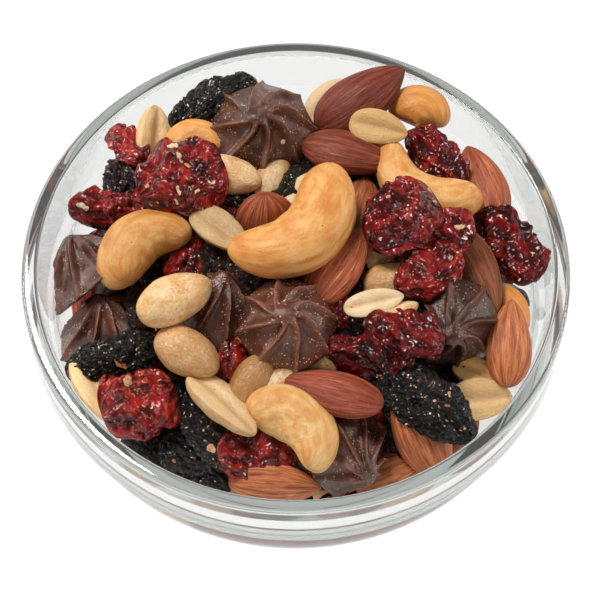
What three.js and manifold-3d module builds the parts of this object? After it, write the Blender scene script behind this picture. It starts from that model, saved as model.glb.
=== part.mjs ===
// A stackable glass bowl heaped with trail mix: almonds, cashews, peanuts, chocolate drops, raisins
// and dried cranberries. Millimetres, +Z up, origin in the middle of the foot. The bowl is one turned
// solid. The mix is one solid too: a core with the pieces that can be seen fused to it.
import * as THREE from 'three';
import { mergeVertices } from 'three/addons/utils/BufferGeometryUtils.js';
import Module from 'manifold-3d';

const wasm = await Module();
wasm.setup();

// ---- Driving dimensions ----

const BOWL = {
  radius: 65, // outside, at the rim
  height: 52,
  rimWall: 3.9, // glass across the rim
  bandHeight: 15.5, // upright band under the rim, which the next bowl of a stack rests on
  bandDraft: 0.3, // how much narrower the band is at its bottom
  bandStep: 2.7, // how far the body stands back under the band
  ledgeDepth: 3, // the stacking ledge inside, below the rim
  innerRadius: 59.1, // inside, below the ledge
  shoulder: 44, // height at which the inner wall starts to curve in
  floor: 5, // top of the bottom glass
  roundness: 2.4, // of the body's curve, where 2 is an ellipse
  footRadius: 32,
  footWidth: 3, // of the ring that it stands on
  footRecess: 1.2, // how far the bottom lies above that ring
  recessSlope: 2,
  sides: 48,
};

// The mix rises in a low dome above the rim and lies a little higher at the back.
const MOUND = { rise: 7, fall: 0.0042, tilt: 0.05 };
// The core lies under the dome by its depth. Its top meets its side at the edge's height.
const CORE = { depth: 3.8, wallGap: 4, edge: 38, topShare: 0.45, sides: 18, rings: 8 };
const GLASS_GAP = 0.4; // kept between the mix and the glass
const FLOOR_GAP = 1; // kept under the pieces near the bottom
const JOINT_TOLERANCE = 0.04; // how far the joined skin may be simplified

// Each kind's proportions: thickness as a share of its width, how blunt its two ends are (0.5 is an
// ellipse's end, more is more pointed), and the sides and rings of its faceted skin.
const ALMOND = { flat: 0.66, tip: 0.72, tail: 0.5, sides: 8, rings: 6 };
const PEANUT = { flat: 0.9, tip: 0.55, tail: 0.45, sides: 8, rings: 5 };
const HALF = { flat: 0.95, crown: 0.12, middle: 0.3, tip: 0.6, tail: 0.45, sides: 8, rings: 5 };
const RAISIN = { flat: 0.75, tip: 0.5, tail: 0.42, sides: 8, rings: 5 };
const CRANBERRY = { flat: 0.5, tip: 0.42, tail: 0.45, sides: 8, rings: 5 };
const PLAIN = { flat: 0.75, tip: 0.5, tail: 0.5, sides: 6, rings: 3 };
const CASHEW = { bend: 78, flat: 0.88, bluntness: 0.62, taper: 0.16, sides: 8, rings: 8 };
// A drop's side bows out by its spread and droops by its slope; its middle is a share of its height.
const DROP = {
  height: 0.56,
  ridges: 8,
  flute: 0.24,
  twist: 35,
  spread: 0.75,
  slope: 1.4,
  middle: 0.4,
  rings: 6,
};

// The pieces that can be seen. A row is [x, y, lift, heading, pitch, roll, length, width]: where its
// middle is in plan, how far that is above the dome, which way its +X end points, how far that end is
// raised and how far it is rolled about its own length, in millimetres and degrees.
const ALMONDS = [
  [16, 45, 4, 35, 10, 10, 26.5, 13],
  [13, 28.5, 0, -15, 0, -15, 23.5, 12.5],
  [45, 24, -1, 105, 5, -20, 23.5, 12],
  [15, 13, -3, 80, -10, 0, 23, 11],
  [10, -4, 0, 55, 10, 0, 22.5, 11],
  [42, -1, -1, -65, -10, 10, 25, 11.5],
  [53, -20, 3, 85, 10, 0, 22, 11],
  [8, -36, 4, 160, -5, 10, 25, 11],
  [32, -45, 0, 125, 35, 20, 23, 14],
  [-5, -53, -2, -5, 0, 60, 21.5, 10.5],
  [-7, 9, -6, -90, -70, 0, 22, 14],
  [10, -38, -6, -15, 0, 0, 22.5, 11],
  [24, -49, -6, 25, 0, 0, 21.5, 10.5],
];
const PEANUTS = [
  [-16, 22, 0, -15, 0, 0, 16, 10],
  [-6, 22, -5, 65, 20, 0, 15, 9.5],
  [-28, -14, 6, 30, 0, 0, 19, 11.5],
  [18, 3, -5, 60, 0, 0, 17, 10.5],
  [23, -6, -2, 10, 0, 0, 15, 9.5],
  [-25, -25.5, 3, -35, 0, 0, 17, 11],
  [-10, -32, 0, 60, 25, 0, 14.5, 10],
  [-4, -32, -1, 25, 10, 0, 13, 8.5],
  [5, -24, -4, -25, 0, 0, 15.5, 9.5],
];
const HALVES = [
  [-35, 38, -1, 85, 10, 45, 14.5, 9],
  [2, 17, -3, 65, 0, 0, 14.5, 8],
  [-18, 6, 0, -40, 0, 0, 16.5, 9],
  [20, 34, 5, -15, 0, 20, 14.5, 8.5],
  [8, 49, -2, 50, 10, 0, 14.5, 8],
  [18, -15, 4, 15, 0, 20, 14.5, 6],
  [22, -17, 3, 25, 0, 160, 14, 6.5],
  [43, -25, -4, -25, 0, 0, 13.5, 7],
  [43, -31, -4, 5, 0, 30, 14, 8],
  [-46, -33, 3, -60, 0, -30, 20, 9],
  [-17, -38.5, 4, -45, 0, 10, 21.5, 9.5],
];
// A cashew's heading is the way its outer curve faces. Its length is across the two horns.
const CASHEWS = [
  [-24, 33, 1, 90, 0, 0, 15, 8],
  [-35, 1, 3, 130, 0, 0, 25, 12],
  [-1, 4, 6, -45, 0, 0, 35, 14],
  [31, 44, 1, 75, 30, 0, 16, 13],
  [31, 21, 2, -125, 0, 0, 28, 10.5],
  [-1, -45, 5, 45, 0, 0, 25, 11],
  [49, -10, -4, 0, 0, 0, 17, 8],
];
// A drop's pitch is how far its peak leans away from its heading. Its length is across the base.
const DROPS = [
  [-8, 35, 5, -90, -10, 0, 26, 26],
  [-51, 2, 1, 135, -65, 0, 23, 23],
  [-18, -11, -3, 100, -10, 0, 23.5, 23.5],
  [-2, -20, 5, -80, -10, 0, 24, 24],
  [37, -17, 1, -85, -50, 0, 23, 23],
  [14, -48, 0, -50, -55, 0, 22, 22],
  [-47, -13, -3, 120, -25, 0, 23, 23],
];
const RAISINS = [
  [-20, 45, 3, 35, 0, 0, 25, 11],
  [-41, 27, -4, 65, 0, 0, 14.5, 11],
  [-16, 17, -5, 0, 0, 0, 15.5, 9.5],
  [-33, 2, -7, 65, 0, 0, 16.5, 10.5],
  [-37, -11, -2, 100, 0, 0, 12, 7],
  [30, -36, 1, -40, 0, 0, 32, 15],
  [-42, -23, 0, 15, 0, 0, 24.5, 11],
  [-19, -40, -3, -60, 0, 0, 23.5, 12],
  [-23, -47, -4, -35, 0, 0, 20.5, 10.5],
  [-36, -42, -6, -35, 0, 0, 14, 9.5],
  [-2, 26, -6, 0, 0, 0, 16.5, 10],
  [16, -4, -9, 45, 0, 0, 19, 11],
];
const CRANBERRIES = [
  [-42, 35.5, 3, -50, 10, 10, 14, 8],
  [-27, 18, 6, 25, 5, 30, 21.5, 18.5],
  [-44, 16, 0, -5, 0, 55, 21.5, 10],
  [-26, 1, -4, 45, 0, 0, 13, 11],
  [34, 30, 0, -50, 0, 30, 20, 11],
  [25, 5, 7, 35, 0, 20, 20, 16],
  [36, 5, 6, -35, 10, 10, 13.5, 11],
  [31, -6, 4, 30, 0, 20, 18, 11],
  [52, 7, 2, -60, 0, 20, 23, 12.5],
  [10, -12, -4, 80, 0, 20, 14, 10.5],
  [25, -22, 4, -15, 0, 20, 19, 11],
  [17, -26, 1, -5, 0, 40, 21, 10.5],
  [-38, -37, 5, 25, 0, 25, 19.5, 16.5],
  [-14, -26, -2, 75, 0, 40, 11, 8],
  [-9, -47, 0, 10, 0, 20, 18.5, 12],
  [-27, -48, -7, -35, 0, 30, 14, 9.5],
  [22, -36, -7, 0, 0, 20, 14, 9.5],
];

// Plain pieces: a layer under the ones above, and rings against the glass as [height, how many].
const PLAIN_PIECE = { length: 19, width: 12, uneven: 0.2 };
const UNDER_LAYER = { count: 28, reach: 49, depth: 3.5 };
const WALL_RINGS = [[14, 8], [25, 10], [36, 12]];

// ---- Bowl ----

// A rounded quarter from (0, bottom) up to (side, top), fuller than an ellipse, in equal turns.
function roundedQuarter(side, bottom, top, roundness, steps) {
  const points = [];
  for (let i = 0; i <= steps; i += 1) {
    const turn = (i / steps) * (Math.PI / 2);
    const across = Math.sin(turn) ** (2 / roundness);
    const down = Math.cos(turn) ** (2 / roundness);
    points.push(new THREE.Vector2(side * across, top - (top - bottom) * (i === steps ? 0 : down)));
  }
  return points;
}

const INNER_CURVE = roundedQuarter(BOWL.innerRadius, BOWL.floor, BOWL.shoulder, BOWL.roundness, 9);

// Radius of the faceted inner wall at a height.
function innerRadius(z) {
  const facing = Math.cos(Math.PI / BOWL.sides);
  if (z > BOWL.height - BOWL.ledgeDepth) return (BOWL.radius - BOWL.rimWall) * facing;
  if (z >= BOWL.shoulder) return BOWL.innerRadius * facing;
  const next = INNER_CURVE.findIndex((point) => point.y > z);
  if (next < 1) return 0;
  const [below, above] = [INNER_CURVE[next - 1], INNER_CURVE[next]];
  return THREE.MathUtils.mapLinear(z, below.y, above.y, below.x, above.x) * facing;
}

function bowlGeometry() {
  const { radius, height, rimWall, bandDraft, bandStep, ledgeDepth } = BOWL;
  const { footRadius, footWidth, footRecess, recessSlope } = BOWL;
  const rimInside = radius - rimWall;
  const rimRound = rimWall / 2;
  const bandBottom = height - BOWL.bandHeight;
  const rim = new THREE.Path();
  rim.moveTo(BOWL.innerRadius, height - ledgeDepth - 1);
  rim.lineTo(rimInside, height - ledgeDepth);
  rim.absarc(radius - rimRound, height - rimRound, rimRound, Math.PI, 0, true);
  rim.lineTo(radius - bandDraft, bandBottom);
  const body = roundedQuarter(radius - bandStep, 0, bandBottom - bandStep / 2, BOWL.roundness, 7);
  const foot = [
    new THREE.Vector2(footRadius, 0),
    new THREE.Vector2(footRadius - footWidth, 0),
    new THREE.Vector2(footRadius - footWidth - recessSlope, footRecess),
    new THREE.Vector2(0, footRecess),
  ];
  const belowBand = body.filter((point) => point.x > footRadius).reverse();
  const outline = [...INNER_CURVE, ...rim.getPoints(3), ...belowBand, ...foot];
  return new THREE.LatheGeometry(outline.reverse(), BOWL.sides).rotateX(Math.PI / 2);
}

// ---- Pieces of the mix ----

// A closed skin over a sphere's grid. surface(along, around) gives each point, with along from 0 at
// the +X end to PI at the -X end, and around from 0 to 2 PI about the X axis.
function skin({ sides, rings }, surface) {
  const geometry = new THREE.SphereGeometry(1, sides, rings);
  const position = geometry.getAttribute('position');
  const point = new THREE.Vector3();
  for (let i = 0; i < position.count; i += 1) {
    point.fromBufferAttribute(position, i);
    const along = Math.acos(THREE.MathUtils.clamp(point.y, -1, 1));
    const around = Math.atan2(point.z, -point.x);
    position.setXYZ(i, ...surface(along, around));
  }
  return geometry;
}

// Half the width of a seed along its length, 1 at its widest.
function seedOutline(along, { tip, tail }) {
  const widest = (tail / (tip + tail)) ** tail * (tip / (tip + tail)) ** tip;
  return Math.sin(along / 2) ** (2 * tip) * Math.cos(along / 2) ** (2 * tail) / widest;
}

// Almonds, peanuts, raisins, cranberries: an egg with pointed or blunt ends, flatter than wide.
function seed(kind, length, width) {
  return skin(kind, (along, around) => {
    const half = (width / 2) * seedOutline(along, kind);
    return [(length / 2) * Math.cos(along), half * Math.cos(around), half * kind.flat * Math.sin(around)];
  });
}

// Half a peanut: round below, nearly flat above.
function halfSeed(length, width) {
  return skin(HALF, (along, around) => {
    const half = (width / 2) * seedOutline(along, HALF);
    const rise = Math.sin(around);
    const z = (rise > 0 ? HALF.crown : HALF.flat) * rise + HALF.middle;
    return [(length / 2) * Math.cos(along), half * Math.cos(around), half * z];
  });
}

// A cashew: a plump arc whose outer curve faces +X, one horn thinner than the other.
function cashew(length, width) {
  const bend = THREE.MathUtils.degToRad(CASHEW.bend);
  const hornTurn = 0.765 * bend; // where a horn reaches furthest sideways
  const hornHalf = 0.38 * width; // half its width there
  const arc = length / 2 / Math.sin(hornTurn) - hornHalf;
  const middle = (arc * (1 + Math.cos(bend))) / 2;
  return skin(CASHEW, (along, around) => {
    const turn = bend * Math.cos(along);
    const plumpness = Math.sin(along) ** CASHEW.bluntness * (1 - CASHEW.taper * Math.cos(along));
    const half = (width / 2) * plumpness;
    const reach = arc + half * Math.cos(around);
    const z = half * CASHEW.flat * Math.sin(around);
    return [reach * Math.cos(turn) - middle, -reach * Math.sin(turn), z];
  });
}

// A piped chocolate drop: eight twisted ridges that run up to a peak on +Z, over a flat base.
function drop(width) {
  const height = width * DROP.height;
  const baseStart = (2 / 3) * Math.PI;
  const grid = { sides: DROP.ridges * 2, rings: DROP.rings };
  const geometry = skin(grid, (along, around) => {
    const down = Math.min(1, along / baseStart);
    const inward = Math.max(0, along - baseStart) / (Math.PI - baseStart);
    const twist = THREE.MathUtils.degToRad(DROP.twist) * (1 - down);
    const flute = 1 - DROP.flute * Math.abs(Math.sin((DROP.ridges / 2) * around));
    const radius = (width / 2) * down ** DROP.spread * (1 - inward) * flute;
    const z = height * (1 - down ** DROP.slope - DROP.middle);
    return [z, radius * Math.cos(around + twist), radius * Math.sin(around + twist)];
  });
  return geometry.rotateY(-Math.PI / 2);
}

function moundHeight(x, y) {
  return BOWL.height + MOUND.rise - MOUND.fall * (x * x + y * y) + MOUND.tilt * y;
}

// How far a placed piece reaches past the inside of the glass.
function overreach(geometry) {
  const position = geometry.getAttribute('position');
  let most = 0;
  for (let i = 0; i < position.count; i += 1) {
    const z = position.getZ(i);
    if (z < BOWL.height) {
      const room = innerRadius(z - GLASS_GAP) - GLASS_GAP;
      most = Math.max(most, Math.hypot(position.getX(i), position.getY(i)) - room);
    }
  }
  return most;
}

// Turns a piece and sets its middle at a point, then draws it in until it clears the glass.
function place(geometry, middle, heading, pitch, roll) {
  const { degToRad } = THREE.MathUtils;
  geometry.rotateX(degToRad(roll)).rotateY(-degToRad(pitch)).rotateZ(degToRad(heading));
  geometry.translate(middle.x, middle.y, middle.z);
  geometry.computeBoundingBox();
  geometry.translate(0, 0, Math.max(0, BOWL.floor + FLOOR_GAP - geometry.boundingBox.min.z));
  const inward = new THREE.Vector3(-middle.x, -middle.y, 0).normalize();
  const tries = 8;
  for (let i = 0; i < tries; i += 1) {
    const step = inward.clone().multiplyScalar(overreach(geometry));
    geometry.translate(step.x, step.y, 0);
  }
  return geometry;
}

function placeRows(rows, shape) {
  return rows.map(([x, y, lift, heading, pitch, roll, length, width]) => {
    const middle = new THREE.Vector3(x, y, moundHeight(x, y) + lift);
    return place(shape(length, width), middle, heading, pitch, roll);
  });
}

// Repeatable uneven numbers from 0 to 1.
function unevenNumbers(seedNumber) {
  let state = seedNumber;
  return () => {
    state = (state * 1664525 + 1013904223) % 4294967296;
    return state / 4294967296;
  };
}

function plainPiece(random) {
  const size = 1 + PLAIN_PIECE.uneven * (2 * random() - 1);
  return seed(PLAIN, PLAIN_PIECE.length * size, PLAIN_PIECE.width * size);
}

// The layer just under the visible pieces, spread evenly on a sunflower spiral.
function underLayer() {
  const random = unevenNumbers(9);
  const goldenTurn = Math.PI * (3 - Math.sqrt(5));
  const pieces = [];
  for (let i = 0; i < UNDER_LAYER.count; i += 1) {
    const radius = UNDER_LAYER.reach * Math.sqrt((i + 0.5) / UNDER_LAYER.count);
    const x = radius * Math.cos(i * goldenTurn);
    const y = radius * Math.sin(i * goldenTurn);
    const middle = new THREE.Vector3(x, y, moundHeight(x, y) - UNDER_LAYER.depth);
    pieces.push(place(plainPiece(random), middle, 360 * random(), 20 * random() - 10, 0));
  }
  return pieces;
}

// Pieces that lie flat against the glass all round.
function wallPieces() {
  const random = unevenNumbers(7);
  const { radToDeg, degToRad } = THREE.MathUtils;
  const pieces = [];
  WALL_RINGS.forEach(([height, count], ring) => {
    for (let i = 0; i < count; i += 1) {
      const turn = ((i + 0.5 * (ring % 2) + 0.3 * (random() - 0.5)) / count) * 2 * Math.PI;
      const z = height + 3 * (random() - 0.5);
      const radius = innerRadius(z) - (PLAIN_PIECE.width * PLAIN.flat) / 2;
      const middle = new THREE.Vector3(radius * Math.cos(turn), radius * Math.sin(turn), z);
      const slope = radToDeg(Math.atan2(innerRadius(z + 1) - innerRadius(z - 1), 2));
      const slanted = plainPiece(random).rotateZ(degToRad(70 * (random() - 0.5)));
      pieces.push(place(slanted, middle, radToDeg(turn) + 90, 0, slope - 90));
    }
  });
  return pieces;
}

// What fills the bowl under the pieces: a plain body that stays clear of the glass.
function coreGeometry() {
  const bottom = BOWL.floor + GLASS_GAP;
  const edgeRadius = innerRadius(CORE.edge) - CORE.wallGap;
  const topEnd = CORE.topShare * Math.PI;
  const geometry = skin(CORE, (along, around) => {
    let radius = edgeRadius * Math.min(1, along / topEnd);
    let z = moundHeight(radius * Math.cos(around), radius * Math.sin(around)) - CORE.depth;
    if (along > topEnd) {
      const down = (along - topEnd) / (Math.PI - topEnd);
      z = CORE.edge + (bottom - CORE.edge) * Math.sin(down * (Math.PI / 2));
      radius = down < 1 ? Math.max(0, innerRadius(z) - CORE.wallGap) : 0;
    }
    return [z, radius * Math.cos(around), radius * Math.sin(around)];
  });
  return geometry.rotateY(-Math.PI / 2).rotateZ(-Math.PI / 2);
}

// ---- Joining ----

function toSolid(geometry) {
  const bare = geometry.clone();
  bare.deleteAttribute('normal');
  bare.deleteAttribute('uv');
  const merged = mergeVertices(bare, 1e-4);
  const vertProperties = new Float32Array(merged.getAttribute('position').array);
  const triVerts = new Uint32Array(merged.getIndex().array);
  return new wasm.Manifold(new wasm.Mesh({ numProp: 3, vertProperties, triVerts }));
}

function toGeometry(solid) {
  const { vertProperties, triVerts } = solid.getMesh();
  const geometry = new THREE.BufferGeometry();
  geometry.setAttribute('position', new THREE.BufferAttribute(vertProperties, 3));
  geometry.setIndex(new THREE.BufferAttribute(triVerts, 1));
  geometry.computeVertexNormals();
  return geometry;
}

// Joins the pieces to the core. Keeping only the largest body fills the sealed gaps between them, and
// the joints' shortest edges are closed up.
function mixGeometry() {
  const pieces = [
    ...placeRows(ALMONDS, (length, width) => seed(ALMOND, length, width)),
    ...placeRows(PEANUTS, (length, width) => seed(PEANUT, length, width)),
    ...placeRows(HALVES, halfSeed),
    ...placeRows(CASHEWS, cashew),
    ...placeRows(DROPS, drop),
    ...placeRows(RAISINS, (length, width) => seed(RAISIN, length, width)),
    ...placeRows(CRANBERRIES, (length, width) => seed(CRANBERRY, length, width)),
    ...underLayer(),
    ...wallPieces(),
  ];
  const joined = pieces.reduce((solid, piece) => solid.add(toSolid(piece)), toSolid(coreGeometry()));
  const bodies = joined.decompose();
  bodies.sort((a, b) => b.volume() - a.volume());
  return toGeometry(bodies[0].asOriginal().simplify(JOINT_TOLERANCE));
}

// ---- Object ----

const glass = new THREE.MeshStandardMaterial({ color: 0xdfe6e2, roughness: 0.05, metalness: 0 });
const mixed = new THREE.MeshStandardMaterial({ color: 0x9a6338, roughness: 0.6, metalness: 0 });

function namedMesh(name, geometry, material) {
  const mesh = new THREE.Mesh(geometry, material);
  mesh.name = name;
  return mesh;
}

const bowlOfTrailMix = new THREE.Group();
bowlOfTrailMix.add(namedMesh('bowl', bowlGeometry(), glass));
bowlOfTrailMix.add(namedMesh('trail_mix', mixGeometry(), mixed));

export default bowlOfTrailMix;
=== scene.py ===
"""A stackable glass bowl heaped with trail mix: almonds, cashews, peanuts, chocolate drops, raisins and
dried cranberries. The heap is laid out in millimetres and its meshes are made in metres, +Z up."""
import math
import random

import bpy
import numpy as np
from mathutils import Matrix, Vector, noise
from mathutils.bvhtree import BVHTree


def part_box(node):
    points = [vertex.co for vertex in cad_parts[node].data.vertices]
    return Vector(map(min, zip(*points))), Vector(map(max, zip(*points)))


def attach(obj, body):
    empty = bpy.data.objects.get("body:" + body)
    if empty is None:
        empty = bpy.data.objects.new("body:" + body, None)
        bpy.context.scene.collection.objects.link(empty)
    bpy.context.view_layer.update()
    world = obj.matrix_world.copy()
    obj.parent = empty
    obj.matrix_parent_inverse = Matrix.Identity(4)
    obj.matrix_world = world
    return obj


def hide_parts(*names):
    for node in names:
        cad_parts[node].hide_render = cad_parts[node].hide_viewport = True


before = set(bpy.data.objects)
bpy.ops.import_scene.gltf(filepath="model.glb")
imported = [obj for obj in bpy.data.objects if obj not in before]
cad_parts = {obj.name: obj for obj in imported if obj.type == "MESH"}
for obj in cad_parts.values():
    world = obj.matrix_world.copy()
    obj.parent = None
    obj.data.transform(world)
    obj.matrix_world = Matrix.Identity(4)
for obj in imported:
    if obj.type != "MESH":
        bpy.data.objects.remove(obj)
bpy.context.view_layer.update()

MM = 0.001
CENTIMETRE = 0.01

# ---- Sizes, in millimetres, as the solids have them ----

bowl_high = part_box("bowl")[1]
BOWL_RADIUS = bowl_high.x / MM
BOWL_HEIGHT = bowl_high.z / MM
RIM_WALL = 3.9
BAND_HEIGHT = 15.5  # the upright band under the rim
BAND_DRAFT = 0.3  # how far it draws in from the rim to its lower edge
BAND_STEP = 2.7  # how far the body stands back under the band
INNER_RADIUS = 59.1
SHOULDER = 44.0  # height at which the inner curve would stand upright
FLARE_START = 35.5  # height from which the inner wall runs straight out to the rim
FLOOR = 5.0  # top of the bottom glass
ROUNDNESS = 2.4  # of the body's curve, where 2 is an ellipse
FOOT_RADIUS = 32.0
FOOT_WIDTH = 3.0
FOOT_RECESS = 1.2
RECESS_SLOPE = 2.0
BOWL_SIDES = 256

MOUND_RISE = 7.0  # the mix's dome above the rim
MOUND_FALL = 0.0042  # times the radius squared
MOUND_TILT = 0.05  # its slope up towards +Y
CORE_DEPTH = 8.5  # how far the dark core lies under the dome
CORE_FALL = 0.0035  # how much faster it falls towards the glass
GLASS_GAP = 0.25  # between the pieces and the glass
FLOOR_GAP = 0.6

# The pieces that can be seen, as [x, y, lift, heading, pitch, roll, length, width, tone, warmth]: the
# middle in plan, its height above the dome, which way its +X end points, how far that end is raised, how
# far it is rolled about its own length, its size, and its colour, where 0 is usual and 1 light or warm.
# A tone is partly a piece's own colour and partly painted shade and light: some pieces in shadow are
# darker, one by the rim lighter.
ALMONDS = [
    [16, 45, 4, 35, 10, 10, 26.5, 13, -0.7, 0],
    [13, 28.5, 0, -15, 0, -15, 23.5, 12.5, -0.4, 0.1],
    [45, 24, -1, 105, 5, -20, 23.5, 12, 0.7, 0.3],
    [15, 13, -3, 80, -10, 0, 23, 11, -0.4, 0.5],
    [10, -4, 0, 55, 10, 0, 22.5, 11, 1, 0.3],
    # painted shade: this almond's low tone darkens it as it lies in shadow
    [42, -1, -1, -65, -10, 10, 25, 11.5, -0.7, 0.5],
    [53, -20, 3, 85, 10, 0, 22, 10, 0.9, 0.7],
    [8, -36, 4, 160, -5, 10, 25, 11, 0.2, 0.1],
    [32, -45, 0, 125, 35, 20, 23, 14, 1, 0.6],
    # painted light: this almond's high tone lightens it where the rim shades it
    [-5, -53, -2, -5, 0, 60, 21.5, 10.5, 1, 0.7],
    [-7, 9, -6, -90, -70, 0, 22, 14, 0.3, 0.3],
    [10, -38, -6, -15, 0, 0, 22.5, 11, 0, 0.3],
    [24, -49, -6, 25, 0, 0, 21.5, 10.5, 0.5, 0.8],
]
PEANUTS = [
    [-16, 22, 0, -15, 0, 0, 16, 10, 0.2, 0.1],
    [-6, 22, -5, 65, 20, 0, 15, 9.5, -0.2, 0],
    [-28, -14, 6, 30, 0, 0, 19, 11.5, 0.4, 0.2],
    [18, 3, -5, 60, 0, 0, 17, 10.5, -0.5, 0.6],
    [23, -6, -2, 10, 0, 0, 15, 9.5, -0.1, 0.5],
    [-25, -25.5, 3, -35, 0, 0, 17, 11, -0.3, 0.6],
    [-10, -32, 0, 60, 25, 0, 14.5, 10, -1, 1],
    [-4, -32, -1, 25, 10, 0, 13, 8.5, 0, 0],
    [5, -24, -4, -25, 0, 0, 15.5, 9.5, -0.4, 0],
]
HALVES = [
    [-35, 38, 0, 85, 10, 45, 17, 10.5, 0.8, 0.4],
    [2, 17, -3, 65, 0, 0, 14.5, 8, 0, 0],
    # painted shade: this half's low tone stands for the shade at its groove
    [-18, 6, 0, -40, 0, 0, 16.5, 9, -0.7, 0.5],
    [20, 34, 5, -15, 0, 20, 14.5, 8.5, -0.5, 0.8],
    [8, 49, -2, 50, 10, 0, 14.5, 8, 0, 0.2],
    [18, -15, 4, 15, 0, 20, 14.5, 6, 0.3, -0.2],
    [22, -17, 3, 25, 0, 160, 14, 6.5, 0.3, -0.1],
    [43, -25, -4, -25, 0, 0, 13.5, 7, 1, 0.8],
    # painted shade: this half's tone is lowered as it lies partly in shadow
    [43, -31, -3, 5, 0, 30, 15, 10, 0.1, 0.6],
    [-47, -32, 4, -60, 0, -20, 20, 10, 1, 0.3],
    [-17, -38.5, 4, -45, 0, -30, 21.5, 10.5, -0.1, 0.3],
]
# A cashew's heading is the way its outer curve faces. Its length is across the two horns.
CASHEWS = [
    [-24, 33, 1, 90, 0, 0, 15, 8, 0.6, 0.6],
    [-35, 1, 3, 130, 0, 0, 25, 13, -0.3, 0.5],
    [-1, 4, 6, -45, 0, 0, 35, 15.5, 0.2, 0.6],
    [31, 44, 1, 75, 30, 0, 16, 13, 0, 0.8],
    [31, 21, 2, -125, 0, 0, 28, 11.5, 0.1, 0.4],
    [-1, -45, 5, 45, 0, 0, 25, 13, 0.1, 0],
    [49, -10, -4, 0, 0, 0, 17, 8, 0.2, 0.8],
]
# A drop's pitch is how far its peak leans away from its heading. Its length is across the base.
DROPS = [
    [-8, 35, 5, -90, -10, 0, 26, 26, 0.1, 0],
    [-50, 1, 1, 135, -65, 0, 25.5, 25.5, -0.6, 0],
    [-18, -11, -3, 100, -10, 0, 23.5, 23.5, 0, 0],
    [-2, -20, 5, -80, -10, 0, 24, 24, 1, 0],
    [37, -17, 1, -85, -40, 0, 23, 23, -0.8, 0],
    [14, -48, 0, -50, -55, 0, 22, 22, -0.2, 0],
    [-47, -13, -3, 120, -25, 0, 23, 23, 0.3, 0],
]
RAISINS = [
    [-20, 45, 3, 35, 0, 0, 25, 11, 0.3, 0],
    [-41, 27, -4, 65, 0, 0, 14.5, 11, 0, 0.6],
    [-16, 17, -5, 0, 0, 0, 15.5, 9.5, 0, 0],
    [-33, 2, -7, 65, 0, 0, 16.5, 10.5, 0, 0],
    [-37, -11, -2, 100, 0, 0, 12, 7, 0.1, 0.9],
    [30, -36, 1, -40, 0, 0, 32, 15, 0.3, 0],
    [-42, -23, 0, 15, 0, 0, 24.5, 11, 0.1, 0],
    [-19, -40, -3, -60, 0, 0, 23.5, 12, 0.1, 0.1],
    [-23, -47, -4, -35, 0, 0, 20.5, 10.5, 0.1, 0.1],
    [-36, -42, -6, -35, 0, 0, 14, 9.5, 0.2, 0],
    [-2, 26, -6, 0, 0, 0, 16.5, 10, 0, 0],
    [16, -4, -9, 45, 0, 0, 19, 11, 0, 0],
]
CRANBERRIES = [
    [-42, 35.5, 3, -50, 10, 10, 14, 8, 1, 0.2],
    [-27, 18, 6, 25, 5, 30, 21.5, 18.5, 0.6, 0.2],
    [-44, 16, 0, -5, 0, 55, 21.5, 10, 1, 0.2],
    [-26, 1, -4, 45, 0, 0, 13, 11, 0, 0],
    [34, 30, 0, -50, 0, 30, 20, 11, -0.2, 0],
    [25, 5, 7, 35, 0, 20, 20, 16, -0.1, 0],
    [36, 5, 6, -35, 10, 10, 13.5, 11, 0, 0],
    [31, -6, 4, 30, 0, 20, 18, 11, 0.1, 0.1],
    [52, 7, 2, -60, 0, 20, 23, 12.5, -0.9, 0],
    [10, -12, -4, 80, 0, 20, 14, 10.5, -0.2, 0],
    [25, -22, 4, -15, 0, 20, 19, 11, -0.5, 0],
    [17, -26, 1, -5, 0, 40, 21, 10.5, -0.9, 0],
    [-37.5, -37, 5, 25, 0, 25, 18, 15.5, 1, 0.5],
    [-14, -26, -2, 75, 0, 40, 11, 8, 0.2, 0.2],
    [-9, -47, 0, 10, 0, 20, 18.5, 12, 0.3, 0.1],
    [-27, -48, -7, -35, 0, 30, 14, 9.5, 0, 0],
    [22, -36, -7, 0, 0, 20, 14, 9.5, 0, 0],
]

# What lies between and under those: even layers, as [kinds, depth under the dome, how many], rings
# against the glass, as [height, how many], and a few pieces on its floor.
DARK_KINDS = ["raisin", "cranberry", "raisin", "almond", "raisin", "cranberry", "raisin"]
ALL_KINDS = ["raisin", "almond", "cranberry", "peanut", "raisin", "half", "drop", "cranberry", "cashew"]
UNDER_LAYERS = [[DARK_KINDS, 5, 46], [ALL_KINDS, 13, 36]]
UNDER_REACH = 47.0  # how far out the layers go
WALL_RINGS = [[8, 10], [15, 15], [22, 19], [29, 21]]
WALL_INSET = 4.5  # how far inside the glass the middles of those pieces lie
WALL_TOP = 34.0  # how high they may reach
UNDER_RIM = 56.0  # from this radius inwards the layers may rise by 45 degrees above that
FLOOR_COUNT = 12
FLOOR_REACH = 24.0
FLOOR_LIFT = 4.0
GOLDEN_TURN = math.pi * (3 - math.sqrt(5))

# Crumbs strewn over a kind, as [how many on a square centimetre, size].
CRUMBS = {"chocolate_drops": [9, 0.2], "raisins": [13, 0.32], "cranberries": [5, 0.36]}
CRUMB_LOW = 45.0  # no crumbs lie below this height
CRUMB_SLOPE = 0.25  # nor where a surface faces up less than this, of 1
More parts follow.
